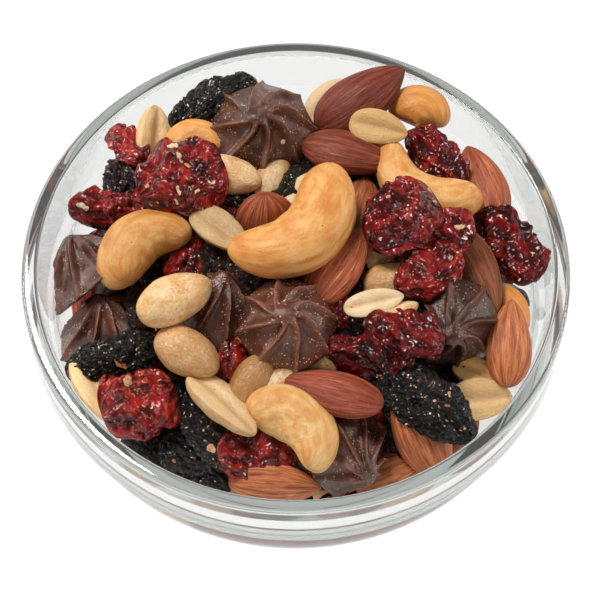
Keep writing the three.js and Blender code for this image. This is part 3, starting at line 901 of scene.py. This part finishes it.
def raisin_skin():
    material, tree, surface = new_material(
        "raisin_skin", Specular_IOR_Level=0.3, Coat_Weight=0.8, Coat_Roughness=0.1
    )
    grain = read(tree, "grain")
    wrinkles = grained_noise(tree, scaled(tree, grain, (0.5, 1, 1)), 1.3, 4.0, 0.6)
    away = calculate(tree, "ABSOLUTE", calculate(tree, "SUBTRACT", wrinkles, 0.5))
    crest = spread(tree, away, 0.0, 0.1, 1.0, 0.0)
    base = blended(tree, read(tree, "warmth"), (15, 13, 12), (58, 24, 20))
    patch = spread(tree, grained_noise(tree, grain, 0.3, 2.0), 0.42, 0.62, 0.1, 0.7)
    # painted highlight: grey on the wrinkle crests, in patches, stands in for their glints
    painted_glints = calculate(tree, "MULTIPLY", calculate(tree, "POWER", crest, 5.0), patch)
    color = blended(tree, painted_glints, base, (128, 116, 104))
    crumbs = specks(tree, grain, 1.0, 0.3)
    color = blended(tree, crumbs, color, (168, 112, 72))
    rough = spread(tree, wrinkles, 0.3, 0.7, 0.26, 0.46)
    normal = bump(tree, crest, 0.6)
    connect(tree, surface, color, rough, normal)
    tree.links.new(normal, surface.inputs["Coat Normal"])
    return material


def cranberry_flesh():
    material, tree, surface = new_material(
        "cranberry_flesh",
        Specular_IOR_Level=0.1,
        Subsurface_Weight=0.3,
        Subsurface_Scale=0.002,
        Subsurface_Radius=(1, 0.1, 0.06),
        Coat_Weight=0.7,
        Coat_Roughness=0.06,
    )
    grain = read(tree, "grain")
    wide = grained_noise(tree, grain, 0.2, 2.0)
    fine = grained_noise(tree, grain, 0.8, 4.0, 0.6)
    tone = spread(tree, read(tree, "tone"), -1, 1)
    deep = blended(tree, tone, (36, 1, 4), (94, 8, 10))
    bright = blended(tree, tone, (114, 2, 6), (180, 34, 30))
    color = blended(tree, spread(tree, wide, 0.36, 0.6), deep, bright)
    # painted highlight: the crests of the folds are lighter red
    crest = spread(tree, read(tree, "mask"), 0.72, 0.98, 0.0, 0.35)
    color = blended(tree, crest, color, (176, 40, 30))
    # painted shade: the valleys between the folds darken to near black
    valley_shade = spread(tree, read(tree, "mask"), 0.78, 0.55, 0.0, 0.7)
    color = blended(tree, valley_shade, color, (36, 1, 4))
    color = blended(tree, spread(tree, fine, 0.46, 0.34, 0.0, 0.25), color, (44, 1, 4))
    frost = calculate(tree, "MULTIPLY", spread(tree, fine, 0.54, 0.68, 0.0, 0.8), tone)
    color = blended(tree, frost, color, (196, 104, 92))
    sugar = specks(tree, grain, 1.2, 0.26)
    color = blended(tree, calculate(tree, "MULTIPLY", sugar, 0.85), color, (222, 160, 130))
    rough = spread(tree, fine, 0.3, 0.7, 0.3, 0.5)
    lobes = bump(tree, grained_noise(tree, grain, 0.36, 1.0), 2.2)
    connect(tree, surface, color, rough, bump(tree, fine, 0.45, lobes))
    tree.links.new(bump(tree, fine, 0.05, lobes), surface.inputs["Coat Normal"])
    return material


def crumb():
    """Scraps of nut and skin, each cream, tan or rust by its own tone."""
    material, tree, surface = new_material("crumb", Roughness=0.6, Specular_IOR_Level=0.4)
    tone = read(tree, "tone")
    light = blended(tree, spread(tree, tone, 0.0, 0.5), (244, 224, 190), (204, 150, 98))
    color = blended(tree, spread(tree, tone, 0.5, 1.0), light, (158, 84, 54))
    tree.links.new(color, surface.inputs["Base Color"])
    return material


def core_finish():
    material, tree, surface = new_material("mix_shadow", Roughness=0.7)
    place_vector = add_node(tree, "ShaderNodeTexCoord").outputs["Object"]
    lumps = grained_noise(tree, place_vector, 300.0, 2.0)
    # painted shade: near-black browns stand in for the shadowed depth of the mix between the pieces
    color = blended(tree, spread(tree, lumps, 0.35, 0.65), (14, 9, 8), (58, 24, 16))
    rough = spread(tree, lumps, 0.3, 0.7, 0.5, 0.8)
    connect(tree, surface, color, rough, bump(tree, lumps, 1.0))
    return material


def clear_glass():
    """Clear glass, faintly green in its depth, that lets light through to what it holds.

    Light that has bounced a few times inside the rim leaves it too, as it does from real glass."""
    material, tree, surface = new_material(
        "clear_glass", Base_Color=(1, 1, 1, 1), Transmission_Weight=0.94, Roughness=0.0, IOR=1.5
    )
    output = tree.nodes["Material Output"].inputs
    path = add_node(tree, "ShaderNodeLightPath").outputs
    bounced = calculate(tree, "GREATER_THAN", path["Glossy Depth"], 1.5)
    passed = calculate(tree, "MAXIMUM", path["Is Shadow Ray"], path["Is Diffuse Ray"])
    share = calculate(tree, "MAXIMUM", passed, bounced)
    through = add_node(tree, "ShaderNodeBsdfTransparent", {"Color": (0.94, 0.95, 0.945, 1)}).outputs[0]
    mixed = add_node(tree, "ShaderNodeMixShader", {0: share, 1: surface.outputs[0], 2: through})
    tree.links.new(mixed.outputs[0], output["Surface"])
    tint = {"Color": (0.2, 0.28, 0.22, 1), "Density": 14.0}
    tree.links.new(add_node(tree, "ShaderNodeVolumeAbsorption", tint).outputs[0], output["Volume"])
    return material


# ---- Crumbs and flakes ----

def drawn(tree, low, high, seed):
    """A value, or a vector, drawn at random for each instance."""
    vector = isinstance(low, tuple)
    inputs = {0: low, 1: high, 8: seed} if vector else {2: low, 3: high, 8: seed}
    kind = "FLOAT_VECTOR" if vector else "FLOAT"
    node = add_node(tree, "FunctionNodeRandomValue", inputs, data_type=kind)
    return node.outputs[0 if vector else 1]


def crumbs_group():
    """Strews flat crumbs over the upper side of a mesh, thicker in some patches than in others."""
    inputs = {
        "Surface": "Geometry",
        "Density": "Float",
        "Size": "Float",
        "Low": "Float",
        "Seed": "Int",
        "Material": "Material",
    }
    tree, given, result = new_group("strewn_crumbs", inputs, "Geometry", "Geometry")
    facing = add_node(tree, "GeometryNodeInputNormal").outputs[0]
    upward = add_node(tree, "ShaderNodeSeparateXYZ", {0: facing}).outputs[2]
    spot = add_node(tree, "GeometryNodeInputPosition").outputs[0]
    height = add_node(tree, "ShaderNodeSeparateXYZ", {0: spot}).outputs[2]
    sloped = calculate(tree, "GREATER_THAN", upward, CRUMB_SLOPE)
    chosen = calculate(tree, "MULTIPLY", sloped, calculate(tree, "GREATER_THAN", height, given["Low"]))
    patches = spread(tree, grained_noise(tree, spot, 170.0), 0.44, 0.6, 0.15, 1.6)
    spots = add_node(
        tree,
        "GeometryNodeDistributePointsOnFaces",
        {
            "Mesh": given["Surface"],
            "Selection": chosen,
            "Density": calculate(tree, "MULTIPLY", given["Density"], patches),
            "Seed": given["Seed"],
        },
    )
    shape = add_node(tree, "GeometryNodeMeshIcoSphere", {"Radius": 1.0, "Subdivisions": 1}).outputs[0]
    size = add_node(
        tree,
        "ShaderNodeVectorMath",
        {0: drawn(tree, (0.5, 0.35, 0.2), (1.7, 0.8, 0.4), 1), "Scale": given["Size"]},
        operation="SCALE",
    ).outputs[0]
    laid = add_node(
        tree,
        "GeometryNodeInstanceOnPoints",
        {
            "Points": spots.outputs["Points"],
            "Instance": shape,
            "Rotation": spots.outputs["Rotation"],
            "Scale": size,
        },
    ).outputs[0]
    spin = drawn(tree, (-0.3, -0.3, 0.0), (0.3, 0.3, 2 * math.pi), 2)
    spun = add_node(tree, "GeometryNodeRotateInstances", {"Instances": laid, "Rotation": spin}).outputs[0]
    kept = add_node(
        tree,
        "GeometryNodeStoreNamedAttribute",
        {"Geometry": spun, "Name": "tone", "Value": drawn(tree, 0.0, 1.0, 3)},
        data_type="FLOAT",
        domain="INSTANCE",
    ).outputs[0]
    real = add_node(tree, "GeometryNodeRealizeInstances", {"Geometry": kept}).outputs[0]
    done = add_node(tree, "GeometryNodeSetMaterial", {"Geometry": real, "Material": given["Material"]})
    tree.links.new(done.outputs[0], result)
    return tree


def strewn(base, group, material, seed):
    """A plain mesh of the crumbs on a piece."""
    count, size = CRUMBS[base.name]
    values = {
        "Density": count / CENTIMETRE ** 2,
        "Size": size * MM,
        "Low": CRUMB_LOW * MM,
        "Seed": seed,
        "Material": material,
    }
    modifier = base.modifiers.new("crumbs", "NODES")
    modifier.node_group = group
    for socket in group.interface.items_tree:
        if socket.name in values:
            modifier[socket.identifier] = values[socket.name]
    mesh = bpy.data.meshes.new_from_object(base.evaluated_get(bpy.context.evaluated_depsgraph_get()))
    base.modifiers.remove(modifier)
    made = bpy.data.objects.new("crumbs_on_" + base.name, mesh)
    bpy.context.scene.collection.objects.link(made)
    return made


def landing(trees, x, y):
    """Where a line straight down meets the highest piece, and the way its surface faces."""
    above = Vector((x, y, 200)) * MM
    hits = [tree.ray_cast(above, Vector((0, 0, -1))) for tree in trees]
    spot, normal, _, _ = max((hit for hit in hits if hit[0]), key=lambda hit: hit[0].z)
    return np.array(spot) / MM, np.array(normal)


def flakes_mesh(bases):
    """Thin curled scraps with ragged outlines, lying on the pieces."""
    graph = bpy.context.evaluated_depsgraph_get()
    trees = [BVHTree.FromObject(base, graph) for base in bases]
    pieces = []
    for number, (x, y, length, width, heading, tone) in enumerate(FLAKES):
        piece = Piece(8, 12, length, width)
        ragged = 1 + 1.1 * uneven(piece.grain, 0.8, 2, number * 2.3)
        half = width / 2 * np.sin(piece.along) ** 0.6 * ragged
        curl = 0.3 * (piece.x / length) ** 2 * length
        flat = np.stack([piece.x, half * piece.across, 0.3 * half * piece.rise + curl], 1)
        spot, up = landing(trees, x, y)
        ahead = np.array([math.cos(math.radians(heading)), math.sin(math.radians(heading)), 0.0])
        ahead -= up * (ahead @ up)
        ahead /= np.linalg.norm(ahead)
        piece.points = spot + flat @ np.array([ahead, np.cross(up, ahead), up])
        piece.tone = tone
        pieces.append(piece)
    made = joined("flakes", pieces, smooth=False)
    keep(made, "tone", [piece.tone + 0 * piece.along for piece in pieces])
    return made


def finish(piece, material, node):
    piece.data.materials.clear()
    piece.data.materials.append(material)
    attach(piece, "root")
    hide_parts(node)


mix = {
    "almonds": (heap.mesh("almonds", "almond"), almond_skin()),
    "peanuts": (heap.mesh("peanuts", "peanut", "half"), peanut_flesh()),
    "cashews": (heap.mesh("cashews", "cashew"), cashew_flesh()),
    "chocolate_drops": (heap.mesh("chocolate_drops", "drop"), chocolate()),
    "raisins": (heap.mesh("raisins", "raisin"), raisin_skin()),
    "cranberries": (heap.mesh("cranberries", "cranberry"), cranberry_flesh()),
}
crumb_finish = crumb()
crumb_group = crumbs_group()
crumbs = [strewn(mix[name][0], crumb_group, crumb_finish, seed) for seed, name in enumerate(CRUMBS)]
flakes = flakes_mesh([piece for piece, material in mix.values()])

finish(lathe("glass_bowl", bowl_outline(), BOWL_SIDES), clear_glass(), "bowl")
for piece, material in mix.values():
    finish(piece, material, "trail_mix")
for piece in [*crumbs, flakes]:
    finish(piece, crumb_finish, "trail_mix")
finish(core_mesh(), core_finish(), "trail_mix")


# ---- Floor, light and camera ----

MIDDLE = (0, 0, 0.04)
# Soft lights, as [name, place, size, power].
LIGHTS = [
    ["key_light", (-0.25, 0.3, 0.8), 0.3, 5.4],
    ["left_light", (-0.75, 0.25, 0.3), 0.25, 1.7],
    ["right_light", (0.75, 0.15, 0.3), 0.25, 1.7],
    ["front_light", (0.1, -0.75, 0.35), 0.3, 0.9],
]
CAMERA_PLACE = (0, -0.30812, 0.56684)
CAMERA_TARGET = (0.00096, -0.00716, 0.04771)
CAMERA_LENS = 152.09


def aimed(name, data, place, target):
    """An object that looks from a place, in metres, at a target."""
    made = bpy.data.objects.new(name, data)
    made.location = place
    made.rotation_euler = (Vector(target) - Vector(place)).to_track_quat("-Z", "Y").to_euler()
    bpy.context.scene.collection.objects.link(made)
    return made


def floor():
    size = 3000
    corners = [(-size, -size, 0), (size, -size, 0), (size, size, 0), (-size, size, 0)]
    plane = new_object("floor", corners, [(0, 1, 2, 3)], smooth=False)
    material = new_material(
        "pale_floor",
        Base_Color=(0.12, 0.12, 0.12, 1),
        Roughness=0.9,
        Specular_IOR_Level=0.1,
        Emission_Color=(1, 1, 1, 1),
        Emission_Strength=0.96,
    )[0]
    plane.data.materials.append(material)


def soft_light(name, place, size, power):
    light = bpy.data.lights.new(name, "AREA")
    light.shape = "DISK"
    light.size = size
    light.energy = power
    aimed(name, light, place, MIDDLE)


def camera():
    lens = bpy.data.cameras.new("camera")
    lens.sensor_width = 36
    lens.lens = CAMERA_LENS
    bpy.context.scene.camera = aimed("camera", lens, CAMERA_PLACE, CAMERA_TARGET)


def studio():
    """Even light all round, brighter where clear glass bends it towards the eye."""
    world = bpy.data.worlds.new("studio")
    world.use_nodes = True
    tree = world.node_tree
    path = add_node(tree, "ShaderNodeLightPath").outputs
    plain = spread(tree, path["Is Glossy Ray"], 0, 1, 0.32, 0.14)
    bright = calculate(tree, "MAXIMUM", plain, path["Is Transmission Ray"])
    background = tree.nodes["Background"].inputs
    tree.links.new(bright, background["Strength"])
    background["Color"].default_value = (1, 1, 1, 1)
    bpy.context.scene.world = world


floor()
studio()
for row in LIGHTS:
    soft_light(*row)
bpy.context.scene.view_settings.view_transform = "Standard"
camera()
